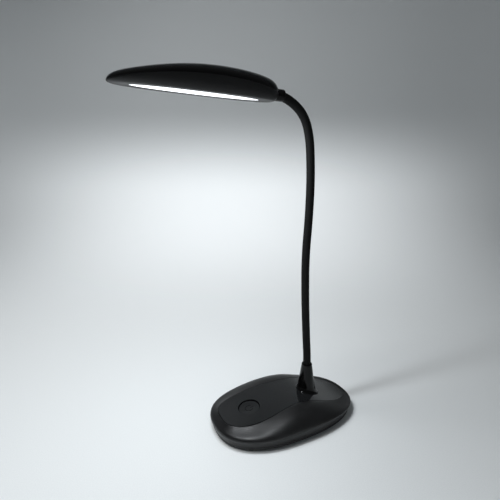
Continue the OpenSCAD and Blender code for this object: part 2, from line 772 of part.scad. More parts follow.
module head_housing() {
  color(matte_black) at_head() difference() {
    union() {
      skin(concat(
        [[for (t = ring(head_n)) concat(light_xy(t), head_wall - belly_z)]],
        [for (a = [90, 60, 30, 0]) belly_loop(a, head_wall)],
        [for (a = [0, 22, 45, 68, 90]) belly_loop(a, 0)],
        [[for (t = ring(head_n)) concat(light_xy(t), -belly_z)]]));
      // lower half of the clamp that holds the neck's ferrule
      translate([-clamp_w / 2, -clamp_from - clamp_l, -belly_z + head_wall / 2])
        cube([clamp_w, clamp_l, belly_z - head_wall / 2]);
    }
    collar_hole();
    ferrule_space();
    both_sides() translate([clamp_screw_x, -clamp_from - clamp_l / 2, -5]) cylinder(d = 2, h = 10);
  }
}

module ferrule_space() {
  translate([0, head_back + 1, 0]) rotate([90, 0, 0])
    cylinder(d = ferrule_d + 2 * seat_gap, h = 2.4 * ferrule_l);
  translate([0, seat_gap - flange_at, 0]) rotate([90, 0, 0])
    cylinder(d = ferrule_flange_d + 2 * seat_gap, h = ferrule_flange_t + 2 * seat_gap);
}

module neck_clamp() {
  color(matte_black) at_head() difference() {
    union() {
      translate([-clamp_w / 2, -clamp_from - clamp_l, seat_gap]) cube([clamp_w, clamp_l, ear_t]);
      intersection() {
        translate([0, -clamp_from, 0]) rotate([90, 0, 0]) cylinder(d = hump_d, h = clamp_l);
        translate([-clamp_w / 2, -clamp_from - clamp_l - 1, seat_gap])
          cube([clamp_w, clamp_l + 2, hump_d]);
      }
    }
    ferrule_space();
    both_sides() translate([clamp_screw_x, -clamp_from - clamp_l / 2, 0]) {
      cylinder(d = 2.3, h = hump_d);
      translate([0, 0, ear_t + seat_gap]) cylinder(d = clamp_screw_d + 4 * seat_gap, h = hump_d);
    }
  }
}

module clamp_screws() {
  color(dark_steel) at_head() both_sides()
    translate([clamp_screw_x, -clamp_from - clamp_l / 2, ear_t + seat_gap]) rotate([180, 0, 0])
      screw(clamp_screw_d, 1.2, 1.9, 7);
}

module head_fitting() {
  color(steel) at_head() difference() {
    union() {
      translate([0, -ferrule_from, 0]) rotate([90, 0, 0]) cylinder(d = ferrule_d, h = ferrule_l);
      translate([0, -flange_at, 0]) rotate([90, 0, 0])
        cylinder(d = ferrule_flange_d, h = ferrule_flange_t);
    }
    translate([0, ferrule_l, 0]) rotate([90, 0, 0]) cylinder(d = core_d + 0.1, h = 3 * ferrule_l);
  }
}

module head_collar() {
  r = collar_d / 2;
  color(gloss_black) difference() {
    at_head() translate([0, collar_rear, -collar_drop]) rotate([90, 0, 0])
      rotate_extrude()
        polygon([[0, 0], [r - 1.2, 0], [r - 0.35, 0.35], [r, 1.2], [r, collar_l], [0, collar_l]]);
    along_neck(collar_way - collar_grip, neck_way) circle(d = neck_d + 2 * fit_gap);
  }
}

module diffuser() {
  color(lit_white) at_head() {
    translate([0, 0, -belly_z + 0.2]) linear_extrude(head_wall + 0.1)
      polygon([for (t = ring(head_n)) light_xy(t, 0.25)]);
    translate([0, 0, -belly_z + head_wall + 0.05]) linear_extrude(1)
      polygon([for (t = ring(head_n)) light_xy(t, -light_lip)]);
  }
}

tray_z = head_wall - belly_z + 1.1;
tray_t = 2.2;
board_z = tray_z + tray_t + seat_gap / 2;
core_out = neck_bends[head_bend + 1][0];

module reflector_tray() {
  color(lit_white) at_head() translate([0, 0, tray_z]) linear_extrude(tray_t) difference() {
    polygon([for (t = ring(head_n)) light_xy(t, -0.8)]);
    polygon([for (t = ring(head_n)) light_xy(t, 1.5)]);
  }
}

module light_board() {
  color([0.85, 0.86, 0.87]) at_head() translate([0, -light_at, board_z])
    linear_extrude(1) rotate([0, 0, 90]) slot_2d(light_l - 2, light_w - 1);
}

module light_chips() {
  color([1, 0.93, 0.6]) at_head() for (i = [0 : chip_n - 1])
    translate([-1.75, -light_at - chip_l / 2 + i * chip_l / (chip_n - 1) - 1.4, board_z - 0.8])
      cube([3.5, 2.8, 0.8]);
}

module head_wires() {
  color("firebrick") at_head() for (s = [-1, 1]) translate([s * wire_pitch / 2, 0, 0])
    wire([[0, -core_out, 0], [0, -core_out - 3, 0], [0, -core_out - 6, board_z + 1 + wire_d / 2],
          [0, -core_out - 12, board_z + 1 + wire_d / 2]], [1, 0, 0]);
}

base_cover();
base_panel();
base_plate();
rubber_feet();
plate_screws();
ballast_plate();
ballast_screws();
control_board();
board_screws();
board_parts();
tact_switch();
power_socket();
socket_board();
power_wires();
lamp_wires();
power_button();
switch_plunger();
stem();
neck_fitting();
stem_washer();
stem_nut();
for (k = [0 : 7]) {
  neck_core(k);
  neck_sleeve(k);
  neck_wires(k);
}
head_collar();
head_fitting();
neck_clamp();
clamp_screws();
head_housing();
head_cover();
diffuser();
reflector_tray();
light_board();
light_chips();
head_wires();
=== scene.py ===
# %% [markdown]
# # A gooseneck desk lamp
# The lamp has a heavy oval base with an inlaid top, a round push button, a glossy stem that flares out
# like a trumpet, a bendable neck in a soft black sleeve, and a slim head whose underside glows. The
# CAD model gives every piece its true place and size. This lesson loads it as a fixed frame, models the
# pieces that show with finer surfaces, and gives each material its real grain and gloss.

# %% Load the frame
import json
import math

import bmesh
import bpy
from mathutils import Matrix, Vector

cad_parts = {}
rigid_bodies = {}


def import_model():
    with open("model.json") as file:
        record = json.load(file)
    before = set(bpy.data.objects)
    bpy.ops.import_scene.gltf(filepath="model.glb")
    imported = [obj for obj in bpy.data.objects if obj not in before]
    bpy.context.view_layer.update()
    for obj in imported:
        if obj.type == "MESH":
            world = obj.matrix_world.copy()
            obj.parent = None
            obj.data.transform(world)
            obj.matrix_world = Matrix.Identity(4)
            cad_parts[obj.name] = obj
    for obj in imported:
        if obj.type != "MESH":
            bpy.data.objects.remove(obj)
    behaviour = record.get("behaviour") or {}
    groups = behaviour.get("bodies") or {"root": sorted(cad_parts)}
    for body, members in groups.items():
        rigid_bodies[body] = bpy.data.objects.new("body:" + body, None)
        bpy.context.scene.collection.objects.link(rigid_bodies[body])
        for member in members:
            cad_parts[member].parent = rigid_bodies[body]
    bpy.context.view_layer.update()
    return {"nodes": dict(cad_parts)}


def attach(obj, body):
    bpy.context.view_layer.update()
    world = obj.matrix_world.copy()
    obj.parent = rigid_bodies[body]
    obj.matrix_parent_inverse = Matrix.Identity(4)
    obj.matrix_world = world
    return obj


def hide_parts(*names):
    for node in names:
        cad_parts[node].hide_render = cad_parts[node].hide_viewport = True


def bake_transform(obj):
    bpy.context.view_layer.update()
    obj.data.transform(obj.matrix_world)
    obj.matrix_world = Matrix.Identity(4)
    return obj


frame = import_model()

# %% [markdown]
# ## Camera
# The photograph was taken from a little below the head, looking down at the base. A camera fitted to the
# outline of the base, the neck and the head gives this place and angle, and a lens of 28.8 mm on a
# 36 mm sensor.

# %% Camera
CAMERA_TURN = 65.31
CAMERA_DIP = 14.33
camera_data = bpy.data.cameras.new("camera")
camera_data.lens = 28.8
camera_data.sensor_width = 36
camera_data.clip_start = 0.01
camera = bpy.data.objects.new("camera", camera_data)
camera.location = (0.3424, -0.1981, 0.2916)
camera.rotation_euler = (math.radians(90 - CAMERA_DIP), 0, math.radians(CAMERA_TURN))
bpy.context.collection.objects.link(camera)
bpy.context.scene.camera = camera
print("camera at", tuple(round(v, 3) for v in camera.location))

# %% [markdown]
# ## Surfaces drawn by extruding a loop
# Nearly every piece of this lamp is a smooth moulded skin whose outline changes from one level to the
# next. By hand one adds a circle, extrudes its edge loop and moves the new loop into place, again and
# again. `loft` does just that: it remembers which point of the circle each new vertex came from, and
# sets it down at that point of the next outline. Sizes are written in millimetres.

# %% Loft
MM = 0.001


def clear_selection():
    bpy.ops.object.select_all(action="DESELECT")


def turns(count):
    return [2 * math.pi * i / count for i in range(count)]


def loft(name, loops, start=None, end=None, ring=False):
    """A skin through the loops. start and end are points that close it, and ring joins its two ends."""
    clear_selection()
    bpy.ops.mesh.primitive_circle_add(vertices=len(loops[0]), radius=0.01)
    piece = bpy.context.object
    piece.name = name
    bpy.ops.object.mode_set(mode="EDIT")
    mesh = bmesh.from_edit_mesh(piece.data)
    place = mesh.verts.layers.int.new("place")
    for i, vertex in enumerate(mesh.verts):
        vertex[place] = i
    for number, loop in enumerate(loops + ([loops[0]] if ring else [])):
        if number:
            bpy.ops.mesh.extrude_region_move()
            mesh = bmesh.from_edit_mesh(piece.data)
            place = mesh.verts.layers.int["place"]
        for vertex in mesh.verts:
            if vertex.select:
                vertex.co = Vector(loop[vertex[place]]) * MM
    if end is not None:
        bpy.ops.mesh.extrude_region_move()
        mesh = bmesh.from_edit_mesh(piece.data)
        for vertex in mesh.verts:
            if vertex.select:
                vertex.co = Vector(end) * MM
    if start is not None:
        bpy.ops.mesh.select_all(action="DESELECT")
        for vertex in list(mesh.verts)[:len(loops[0])]:
            vertex.select = True
        mesh.select_flush(True)
        bpy.ops.mesh.extrude_region_move()
        mesh = bmesh.from_edit_mesh(piece.data)
        for vertex in mesh.verts:
            if vertex.select:
                vertex.co = Vector(start) * MM
    bmesh.update_edit_mesh(piece.data)
    bpy.ops.mesh.select_all(action="SELECT")
    bpy.ops.mesh.remove_doubles(threshold=0.000001)
    bpy.ops.mesh.normals_make_consistent(inside=False)
    bpy.ops.object.mode_set(mode="OBJECT")
    layer = piece.data.attributes.get("place")
    if layer:
        piece.data.attributes.remove(layer)
    return piece


def smooth(piece, degrees=35):
    clear_selection()
    piece.select_set(True)
    bpy.context.view_layer.objects.active = piece
    bpy.ops.object.shade_smooth_by_angle(angle=math.radians(degrees))


def cut(piece, cutter):
    """Takes the cutter's shape out of the piece, and deletes the cutter."""
    tool = piece.modifiers.new("cut", "BOOLEAN")
    tool.object = cutter
    tool.operation = "DIFFERENCE"
    tool.solver = "EXACT"
    clear_selection()
    piece.select_set(True)
    bpy.context.view_layer.objects.active = piece
    bpy.ops.object.modifier_apply(modifier=tool.name)
    bpy.data.objects.remove(cutter)


def join(piece, other):
    """Makes the other object part of the piece."""
    clear_selection()
    other.select_set(True)
    piece.select_set(True)
    bpy.context.view_layer.objects.active = piece
    bpy.ops.object.join()


def report(piece):
    size = [round(v / MM, 1) for v in piece.dimensions]
    print(piece.name, len(piece.data.polygons), "faces,", "size mm", size)


# %% [markdown]
# ## The outlines of the base
# The base's outline is a squared oval, fuller than an ellipse, with its widest place a little in front
# of the middle. The panel's outline is a squarer and narrower oval with a waist beside the stem. Its
# surface swells from the front to a crest and falls away behind the stem.

# %% Outlines of the base
BASE_HALF_W = 50.5
BASE_FRONT = 72.5
BASE_REAR = 92.5
BASE_LEAD = 10
BASE_SQUARE = 2.4
SIDE_DRAFT = 2.0
COVER_WALL = 2.2
COVER_Z = 4.4
# The rim is level around its middle, and falls towards the front and the rear.
RIM_Z = 12.5
RIM_HALF_L = 82.5
RIM_LEVEL = 0.25
RIM_FALL_FRONT = 1.5
RIM_FALL_REAR = 3
# The panel swells to a crest, which lies this far from its front and rear end.
CREST_Y = 5
CREST_Z = 27
PANEL_FRONT_Z = 18.7
PANEL_REAR_Z = 10
CREST_TO_FRONT = 70
CREST_TO_REAR = 80
# The crease around the panel: an oval that narrows to the rear, with a waist beside the stem.
CREASE_MID = 1
CREASE_HALF_L = 75.5
CREASE_HALF_W = 28.3
CREASE_SQUARE = 3
CREASE_TAPER = 0.2
WAIST_DEPTH = 0.16
WAIST_REACH = 20
# The shoulder is fuller near the middle of its length, and hollower at the ends.
SHOULDER_FIRST = 12
SWELL = 1.5
SWELL_Y = 10
SWELL_REACH = 28


def ease(value, power):
    return math.copysign(abs(value) ** power, value)


def bell(value):
    return math.exp(-value * value / 2)


def mix(a, b, k):
    return a + (b - a) * k


def rim_xy(t, inset=0.0):
    reach = (BASE_REAR if math.cos(t) > 0 else BASE_FRONT) - inset
    return ((BASE_HALF_W - inset) * ease(math.sin(t), 2 / BASE_SQUARE),
            -BASE_LEAD + reach * ease(math.cos(t), 2 / BASE_SQUARE))


def rim_h(y):
    v = y / RIM_HALF_L
    fall = RIM_FALL_FRONT if v < 0 else RIM_FALL_REAR
    return RIM_Z - fall * (max(0, abs(v) - RIM_LEVEL) / (1 - RIM_LEVEL)) ** 2


def panel_h(y):
    front = y < CREST_Y
    v = (CREST_Y - y) / CREST_TO_FRONT if front else (y - CREST_Y) / CREST_TO_REAR
    end_z = PANEL_FRONT_Z if front else PANEL_REAR_Z
    return mix(end_z, CREST_Z, (1 + math.cos(math.pi * min(1, v))) / 2)


def crease_xy(t, inset=0.0):
    y = CREASE_MID + (CREASE_HALF_L - inset) * ease(math.cos(t), 2 / CREASE_SQUARE)
    taper = 1 - CREASE_TAPER * (y - CREASE_MID) / (2 * CREASE_HALF_L)
    waist = 1 - WAIST_DEPTH * bell((y - CREST_Y) / WAIST_REACH)
    return (CREASE_HALF_W - inset) * ease(math.sin(t), 2 / CREASE_SQUARE) * (taper * waist), y


def shoulder(t, degrees, inside=0.0):
    """The rounded shoulder from the panel's crease, at SHOULDER_FIRST, down to the rim, at 90."""
    a = math.radians(degrees)
    first = math.radians(SHOULDER_FIRST)
    k = (math.sin(a) - math.sin(first)) / (1 - math.sin(first))
    crease = crease_xy(t, -inside)
    rim = rim_xy(t, inside)
    swell = mix(-SWELL, SWELL, bell((rim[1] - SWELL_Y) / SWELL_REACH))
    z = mix(rim_h(rim_xy(t)[1]), panel_h(crease[1]), math.cos(a) / math.cos(first))
    z += swell * math.sin(math.pi * k)
    return mix(crease[0], rim[0], k), mix(crease[1], rim[1], k), z - inside


def crease_loop(inset, drop, count):
    points = [crease_xy(t, inset) for t in turns(count)]
    return [(x, y, panel_h(y) - drop) for x, y in points]


def rim_loop(inset, z, count):
    return [(*rim_xy(t, inset), z) for t in turns(count)]


def rim_loop_below(inset, drop, count):
    return [(*rim_xy(t, inset), rim_h(rim_xy(t)[1]) - drop) for t in turns(count)]


# %% [markdown]
# ## Base cover
# The cover is one injection moulding in black ABS, with a recess for the panel, a rounded shoulder, a
# rim that stands out as a soft edge, and a side wall that leans in towards the desk. The loops run from
# the recess over the shoulder to the lower edge, and back up inside the wall. The power socket's mouth
# is cut from the left side.

# %% Base cover
ROUND = 176
steps = [13.2, 15, 18, 22, 26, 31, 36, 42, 48, 54, 60, 66, 72, 77, 82, 86]
loops = [crease_loop(0, 3.9, ROUND), crease_loop(0, 0.45, ROUND), crease_loop(-0.06, 0.16, ROUND)]
loops += [[shoulder(t, a) for t in turns(ROUND)] for a in steps]
loops += [[shoulder(t, 89.2) for t in turns(ROUND)]]
loops += [rim_loop_below(inset, drop, ROUND) for inset, drop in ((0.05, 0.5), (0.3, 1.0), (0.6, 1.5))]
loops += [rim_loop(mix(0.9, SIDE_DRAFT, k), mix(8.2, COVER_Z + 0.5, k), ROUND) for k in (0, 0.3, 0.65, 1)]
loops += [rim_loop(SIDE_DRAFT + 0.15, COVER_Z + 0.15, ROUND), rim_loop(SIDE_DRAFT + 0.5, COVER_Z, ROUND),
          rim_loop(SIDE_DRAFT + COVER_WALL, COVER_Z, ROUND), rim_loop_below(COVER_WALL, 2.4, ROUND)]
loops += [[shoulder(t, a, COVER_WALL) for t in turns(ROUND)] for a in (75, 60, 45, 30, 18, 12)]
base_cover = loft("base_cover_moulding", loops, ring=True)

MOUTH_AT = (-0.049, 0.020, 0.008)
MOUTH_SIZE = (0.012, 0.00994, 0.0042)
clear_selection()
bpy.ops.mesh.primitive_cube_add(size=1, location=MOUTH_AT, scale=MOUTH_SIZE)
mouth = bpy.context.object
rounding = mouth.modifiers.new("round", "BEVEL")
rounding.width = 0.002
rounding.segments = 6
bpy.ops.object.modifier_apply(modifier="round")
cut(base_cover, mouth)
smooth(base_cover, 40)
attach(base_cover, "base")
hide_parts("base_cover")
report(base_cover)

# %% [markdown]
# ## Panel
# The panel drops into the recess with a gap of 0.3 mm all round, which shows as a fine dark line. Its
# top follows the crest along the base and is straight across. Loops that shrink towards its middle keep
# the surface exact, and the button's well is cut square to the slope. A skirt under the panel closes
# the well's side, so that nothing inside shows through the gap.

# %% Panel
PANEL_WALL = 1.7
WELL_R = 11.9
SKIRT_R = 13.3
BUTTON_Y = -42
shrink = [0.995, 0.97, 0.93, 0.88, 0.82, 0.75, 0.67, 0.59, 0.5, 0.41, 0.32, 0.23, 0.14, 0.06]
edge = [crease_xy(t, 0.55) for t in turns(ROUND)]
loops = [[(x * q, y * q, panel_h(y * q) - PANEL_WALL) for x, y in edge] for q in reversed(shrink[1::2])]
sides = ((0.3, PANEL_WALL), (0.3, 0.25), (0.37, 0.07), (0.55, 0))
loops += [crease_loop(inset, drop, ROUND) for inset, drop in sides]
loops += [[(x * q, y * q, panel_h(y * q)) for x, y in edge] for q in shrink]
base_panel = loft("base_panel_inlay", loops, start=(0, 0, panel_h(0) - PANEL_WALL), end=(0, 0, panel_h(0)))

slope = math.atan(panel_h(BUTTON_Y + 0.5) - panel_h(BUTTON_Y - 0.5))
button_place = Matrix.Translation((0, BUTTON_Y * MM, panel_h(BUTTON_Y) * MM))
button_place = button_place @ Matrix.Rotation(slope, 4, "X")
clear_selection()
bpy.ops.mesh.primitive_cylinder_add(vertices=128, radius=WELL_R * MM, depth=8 * MM)
well = bpy.context.object
well.data.transform(button_place)
cut(base_panel, well)
skirt_loops = [[(r * math.sin(t), r * math.cos(t), z) for t in turns(96)]
               for r, z in ((WELL_R, -1.5), (WELL_R, -4), (SKIRT_R, -4), (SKIRT_R, -1.5))]
skirt = loft("well_skirt", skirt_loops, ring=True)
skirt.data.transform(button_place)
join(base_panel, skirt)
smooth(base_panel, 30)
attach(base_panel, "base")
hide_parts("base_panel")
report(base_panel)

# %% [markdown]
# ## Push button
# The button is a shallow cap with a slightly hollow top, so that a finger finds it, and a rounded edge
# that catches the light. It is turned from a profile of radius and height, as on a lathe. A small power
# sign, the usual ring with a gap and a bar, is moulded in its middle.

# %% Push button


def turned(name, profile, place, count=96, ring=False):
    """A round piece from a profile of (radius, height). Without ring, its ends close on the axis."""
    loops = [[(r * math.sin(t), r * math.cos(t), z) for t in turns(count)] for r, z in profile]
    ends = {} if ring else {"start": (0, 0, profile[0][1]), "end": (0, 0, profile[-1][1])}
    piece = loft(name, loops, ring=ring, **ends)
    piece.data.transform(place)
    return piece


profile = [(0.6, -1.4), (4, -1.37), (7, -1.28), (9.3, -1.16), (10.6, -1.1), (11.05, -1.13), (11.3, -1.26),
           (11.43, -1.5), (11.45, -2), (11.45, -4.15), (12.85, -4.15), (12.85, -5.1), (2, -5.1), (2, -8)]
power_button = turned("power_button_cap", profile, button_place)
smooth(power_button, 40)
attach(power_button, "button")
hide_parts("power_button")
report(power_button)


SIGN_R = 4.2
SIGN_HALF_W = 0.4
SIGN_RISE = 0.16
SIGN_Z = -1.37
SIGN_STEPS = 40
SIGN_GAP = 40


def loop_middle(loop):
    """The point midway between two opposite points of a loop of ten."""
    return tuple(Vector(loop[0]).lerp(Vector(loop[5]), 0.5))


sign_loops = []
for step in range(SIGN_STEPS + 1):
    a = math.radians(SIGN_GAP + (360 - 2 * SIGN_GAP) * step / SIGN_STEPS)
    outward = Vector((math.sin(a), math.cos(a), 0))
    sign_loops.append([tuple(outward * (SIGN_R + SIGN_HALF_W * math.cos(s))
                             + Vector((0, 0, SIGN_Z + SIGN_RISE * math.sin(s)))) for s in turns(10)])
sign = loft("power_sign", sign_loops, start=loop_middle(sign_loops[0]), end=loop_middle(sign_loops[-1]))
bar_loops = [[(SIGN_HALF_W * math.cos(s), y, SIGN_Z + SIGN_RISE * math.sin(s)) for s in turns(10)]
             for y in (1.2, 3, 5)]
bar = loft("power_sign_bar", bar_loops, start=(0, 1.2, SIGN_Z), end=(0, 5, SIGN_Z))
join(sign, bar)
sign.data.transform(button_place)
smooth(sign, 50)
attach(sign, "button")
report(sign)

# %% [markdown]
# ## Stem
# The stem is a polished upright trumpet, round at every height, that the sloping panel cuts off. Its
# front meets the panel high up, where the trumpet is still narrow, and its rear runs further down and
# flares wider. So the foot's height is found for each direction first, and the loops then go up the
# bore, over a rounded lip, and down the outside.

# %% Stem
STEM_Y = 30
MOUTH_Z = 56
BORE = 4.9
STEM_N = 112
# The trumpet's radius: a straight taper from the mouth, and a flare that grows towards the foot.
MOUTH_R = 5.7
STEM_TAPER = 0.14
FLARE = 1.1
FLARE_Z = 22.9
FLARE_REACH = 4.5
STEM_MAX_R = 15.3
# The small fillet where the foot meets the panel.
FILLET = 1.3
FILLET_REACH = 1.1


def stem_r(z):
    flare = FLARE * math.exp((FLARE_Z - z) / FLARE_REACH)
    return min(STEM_MAX_R, MOUTH_R + STEM_TAPER * (MOUTH_Z - z) + flare)


def foot_z(t):
    """The height at which the trumpet meets the panel in direction t, found in small steps down."""
    z = 40.0
    while z > panel_h(STEM_Y + stem_r(z) * math.cos(t)):
        z -= 0.02
    return z


feet = [foot_z(t) for t in turns(STEM_N)]


def stem_loop(k, grow=0.0, lift=0.0):
    """A loop from the foot, at k = 0, to the mouth, at 1."""
    loop = []
    for t, foot in zip(turns(STEM_N), feet):
        z = mix(foot, MOUTH_Z, k)
        r = stem_r(z) + FILLET * math.exp((foot - z) / FILLET_REACH) + grow
        loop.append((r * math.sin(t), STEM_Y + r * math.cos(t), z + lift))
    return loop


def bore_loop(r, drop):
    return [(r * math.sin(t), STEM_Y + r * math.cos(t), MOUTH_Z - drop) for t in turns(STEM_N)]


underside = [(x, y, panel_h(y) + 0.1) for x, y, _ in bore_loop(BORE, 0)]
lip = ((BORE, 13), (4.4, 10), (4.4, 0.5), (4.55, 0.15), (4.9, 0), (5.25, 0), (5.55, 0.15), (5.72, 0.5))
heights = [0.95, 0.9, 0.84, 0.78, 0.72, 0.66, 0.6, 0.54, 0.48, 0.43, 0.38, 0.34, 0.3, 0.26, 0.23, 0.2, 0.17,
           0.145, 0.12, 0.1, 0.082, 0.066, 0.052, 0.04, 0.029, 0.019, 0.01]
loops = [underside] + [bore_loop(r, drop) for r, drop in lip]
loops += [stem_loop(k) for k in heights]
loops += [stem_loop(0, 0.05, 0.2), stem_loop(0, -0.1, 0.06)]
stem = loft("stem_trumpet", loops, ring=True)
smooth(stem, 50)
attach(stem, "base")
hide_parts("stem")
report(stem)

# %% [markdown]
# ## Neck sleeve
# The sleeve is one soft tube over the gooseneck. It bends anywhere, and the frame has a hinge every
# few centimetres, so the tube is made in seven lengths that meet between the hinges.
# The centreline is a chain of arcs, each with a length and a turn.

# %% Neck sleeve
NECK_START_Z = MOUTH_Z - 22
SLEEVE_R = 4.25
SLEEVE_BORE_R = 3.4
BLEND_HALF = 18
HEAD_WAY = 330
BENDS = [(22, 0), (16, 5), (44, -1.2), (44, -2), (44, -5.4), (44, 3.2), (44, 6), (20, 12.4), (20, 31.5),
         (32, 37.2), (8, 0)]
HINGES = [38, 82, 126, 170, 214, 258, 298]


def onward(place, length, turn):
    y, z, heading = place
    a = math.radians(heading)
    b = math.radians(heading + turn)
    if abs(turn) < 0.01:
        return y - length * math.sin(a), z + length * math.cos(a), heading
    r = length / math.radians(turn)
    return y + r * (math.cos(b) - math.cos(a)), z + r * (math.sin(b) - math.sin(a)), heading + turn


def neck_point(way):
    """The centreline's y, z and heading at a distance from its lower end. Heading 0 is straight up."""
    place = (STEM_Y, NECK_START_Z, 0)
    for length, turn in BENDS:
        if way <= length:
            return onward(place, way, turn * way / length)
        place = onward(place, length, turn)
        way -= length
    return place


def neck_loop(way, radius, count=40):
    y, z, heading = neck_point(way)
    a = math.radians(heading)
    return [(radius * math.cos(t), y + radius * math.sin(t) * math.cos(a),
             z + radius * math.sin(t) * math.sin(a)) for t in turns(count)]


meets = [20, 60, 104, 148, 192, 236, 278, 326]
for k, hinge in enumerate(HINGES):
    low, high = meets[k], meets[k + 1]
    count = round((high - low) / 1.5)
    ways = [mix(low, high, i / count) for i in range(count + 1)]
    outside = [neck_loop(way, SLEEVE_R) for way in ways]
    inside = [neck_loop(way, SLEEVE_BORE_R) for way in reversed(ways)]
    sleeve = loft(f"neck_sleeve_length_{k + 1}", outside + inside, ring=True)
    smooth(sleeve, 50)
    y0, z0, _ = neck_point(hinge - BLEND_HALF)
    y1, z1, _ = neck_point(hinge + BLEND_HALF)
    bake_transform(sleeve)
    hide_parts(*([f"neck_sleeve_{k}"] + (["neck_sleeve_7"] if k == 6 else [])))
    report(sleeve)

# %% [markdown]
# ## Head
# The head is two thin shells that meet in a fine parting line: a long shallow dome on top, and a belly
# that curves in to a flat underside. Both follow one outline, an oval that is widest just behind its
# middle. Heights are measured from the neck's axis, and `head_place` tilts the finished shells to the
# end of the neck.

# %% Head outline
HEAD_N = 160
HEAD_MID = -62
HEAD_FRONT = 79
HEAD_REAR = 68
HEAD_HALF_W = 21
HEAD_SQUARE = 2.6
WALL = 1.8
BELLY_Z = 7.4
# The light's opening is a little shorter than the CAD solid's, and tapers more towards its ends.
LIGHT_MID = -68
LIGHT_HALF_L = 56.5
LIGHT_HALF_W = 10.4
LIGHT_SQUARE = 2.1
# The parting line and the crown each follow a parabola along the head. It is given by its top's height,
# how far that lies in front of the neck's end, and how flat it is.
EDGE_TOP = 5.45
EDGE_Y = 55.6
EDGE_FLAT = 666
CROWN_TOP = 15.8
CROWN_Y = 47
CROWN_FLAT = 508
# In front of TIP_Y the crown is raised, up to TIP_RISE, so that the tip is blunt.
TIP_Y = 104
TIP_REACH = 37
TIP_RISE = 1.6
y, z, heading = neck_point(HEAD_WAY)
head_place = Matrix.Translation((0, y * MM, z * MM))
head_place = head_place @ Matrix.Rotation(math.radians(heading - 90), 4, "X")


def head_xy(t, inset=0.0):
    reach = (HEAD_REAR if math.cos(t) > 0 else HEAD_FRONT) - inset
    return ((HEAD_HALF_W - inset) * ease(math.sin(t), 2 / HEAD_SQUARE),
            HEAD_MID + reach * ease(math.cos(t), 2 / HEAD_SQUARE))


def light_xy(t, inset=0.0):
    return ((LIGHT_HALF_W - inset) * ease(math.sin(t), 2 / LIGHT_SQUARE),
            LIGHT_MID + (LIGHT_HALF_L - inset) * ease(math.cos(t), 2 / LIGHT_SQUARE))


def edge_h(y):
    return EDGE_TOP - (y + EDGE_Y) ** 2 / EDGE_FLAT


def crown_h(y):
    tip = TIP_RISE * max(0, (-TIP_Y - y) / TIP_REACH) ** 2
    return CROWN_TOP - (y + CROWN_Y) ** 2 / CROWN_FLAT + tip


def dome_point(t, q, inset=0.0, drop=0.0):
    """A place on the dome, from q = 0 at its middle to q = 1 at its edge."""
    x, y = head_xy(t, inset)
    x *= q
    y = mix(HEAD_MID, y, q)
    along = abs(y - HEAD_MID) / ((HEAD_REAR if y > HEAD_MID else HEAD_FRONT) - inset)
    half = (HEAD_HALF_W - inset) * max(0, 1 - along ** HEAD_SQUARE) ** (1 / HEAD_SQUARE)
    side = 1 if half < 0.001 else min(1, abs(x) / half)
    rise = (1 - side ** 2.2) ** 0.55 * max(0, 1 - along ** 14) ** 0.5
    return x, y, mix(edge_h(y), crown_h(y), rise) - drop


def collar_cutter():
    """A rod across the rear of the head, where the collar passes through both shells."""
    clear_selection()
    bpy.ops.mesh.primitive_cylinder_add(vertices=64, radius=5.6 * MM, depth=9 * MM,
                                        rotation=(math.pi / 2, 0, 0), location=(0, 0.0055, -0.0008))
    cutter = bpy.context.object
    bpy.ops.object.transform_apply(location=True, rotation=True, scale=True)
    return cutter


# %% [markdown]
# ### Head cover
# The dome is steep at its edge and almost flat at its crown, so the loops are set closer together
# towards the edge, as sines of even steps.

# %% Head cover


def edge_loop(inset, rise):
    """A loop along the parting line, at a height above it."""
    return [(*head_xy(t, inset), edge_h(head_xy(t)[1]) + rise) for t in turns(HEAD_N)]


angles = [2, 6, 11, 16, 21, 26, 31, 36, 41, 46, 51, 56, 60, 64, 68, 72, 75, 78, 81, 83.5, 86, 88, 89.2]
outward = [math.sin(math.radians(a)) for a in angles]
loops = [[dome_point(t, q, drop=-0.1) for t in turns(HEAD_N)] for q in outward]
loops += [edge_loop(0.04, 0.3), edge_loop(0.22, 0.1), edge_loop(WALL, 0.1)]
loops += [[dome_point(t, q, WALL, WALL) for t in turns(HEAD_N)] for q in (0.985, 0.9, 0.75, 0.5, 0.25)]
head_cover = loft("head_cover_shell", loops, start=(0, HEAD_MID, crown_h(HEAD_MID) + 0.1),
                  end=(0, HEAD_MID, crown_h(HEAD_MID) - WALL))
cut(head_cover, collar_cutter())
head_cover.data.transform(head_place)
smooth(head_cover, 40)
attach(head_cover, "head")
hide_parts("head_cover")
report(head_cover)

# %% [markdown]
# ### Head housing
# The belly's side is a quarter round from the parting line to the flat underside, where a rounded lip
# frames the light's opening.

# %% Head housing


def belly_loop(degrees, inside=0.0):
    a = math.radians(degrees)
    inset = inside * (1 if degrees < 80 else 0.6) + 5 * (1 - math.cos(a))
    return [(*head_xy(t, inset), mix(edge_h(head_xy(t)[1]), inside - BELLY_Z, math.sin(a)))
            for t in turns(HEAD_N)]


def light_loop(inset, z):
    return [(*light_xy(t, inset), z) for t in turns(HEAD_N)]


loops = [light_loop(0, WALL - BELLY_Z)] + [belly_loop(a, WALL) for a in (90, 60, 30, 0)]
loops += [edge_loop(0.22, 0), edge_loop(0.04, -0.2)]
loops += [belly_loop(a) for a in (4, 9, 15, 22, 30, 38, 46, 54, 62, 70, 78, 84, 90)]
loops += [light_loop(-0.5, -BELLY_Z), light_loop(-0.15, 0.1 - BELLY_Z), light_loop(0, 0.45 - BELLY_Z)]
head_housing = loft("head_housing_shell", loops, ring=True)
cut(head_housing, collar_cutter())
head_housing.data.transform(head_place)
smooth(head_housing, 40)
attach(head_housing, "head")
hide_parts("head_housing")
report(head_housing)

